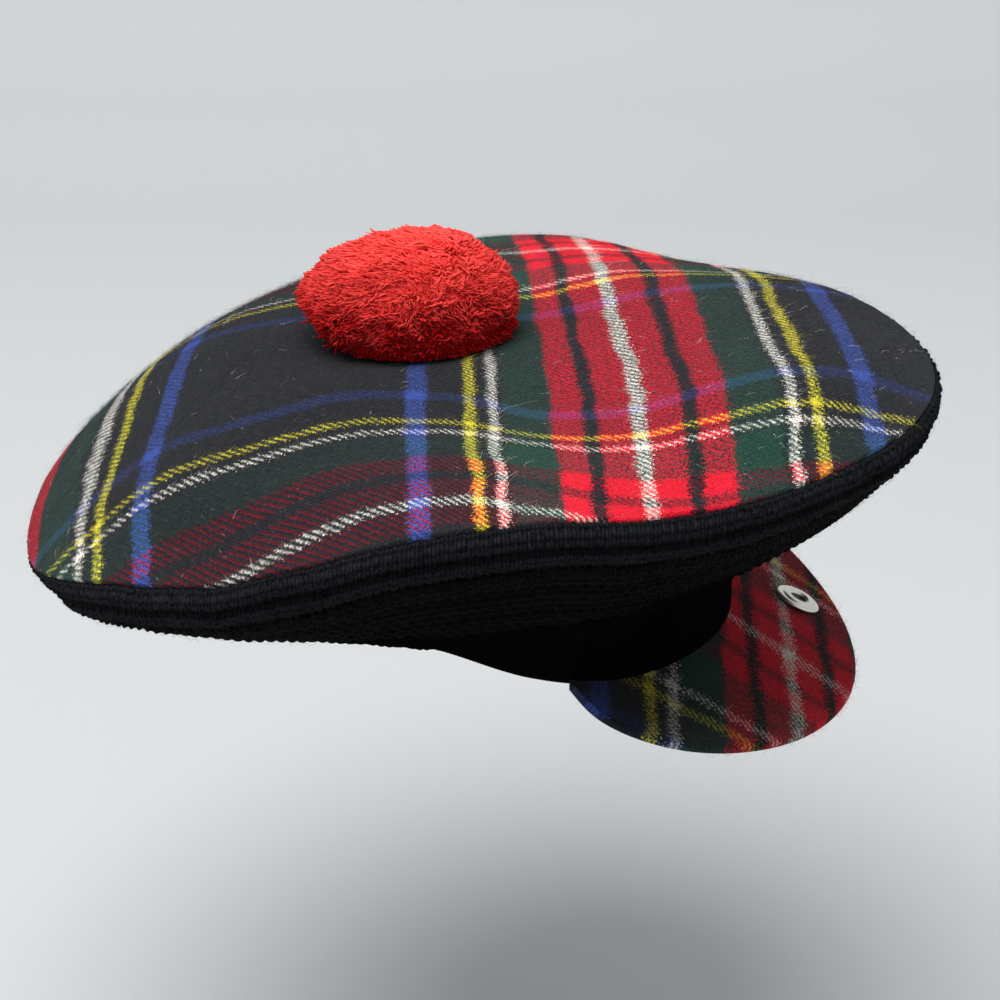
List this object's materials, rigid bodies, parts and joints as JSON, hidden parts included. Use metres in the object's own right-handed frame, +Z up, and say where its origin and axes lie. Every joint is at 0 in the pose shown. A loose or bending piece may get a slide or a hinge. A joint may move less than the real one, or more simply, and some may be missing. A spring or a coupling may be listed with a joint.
{
  "type": "peaked tam o'shanter",
  "caption": "Peaked tam o'shanter: wide tartan crown with a yarn pompom, knitted side and rolled rim, ribbed head band and a cloth peak with a snap.",
  "frame": {"origin": "centre of the head opening, in the plane of the band's lower edge, where a head goes in", "axes": "+Z up as the hat is shown, -Y towards the front, where the peak is, and +X towards the wearer's left"},
  "size_m": [0.2644, 0.2624, 0.1355],
  "materials": {
    "tartan_cloth": "brushed wool tartan of black, green, blue and red with yellow and white lines",
    "black_knit": "chunky black knit with ridges along the rim",
    "black_rib": "fine black rib knit",
    "peak_cloth": "brushed wool tartan over a stiff plate",
    "nickel": "polished nickel plate",
    "red_yarn": "cut red yarn"
  },
  "bodies": {
    "root": {"crown": "tartan_cloth", "knit_side": "black_knit", "head_band": "black_rib", "peak": "peak_cloth", "snap": "nickel", "pompom": "red_yarn"}
  },
  "joints": []
}
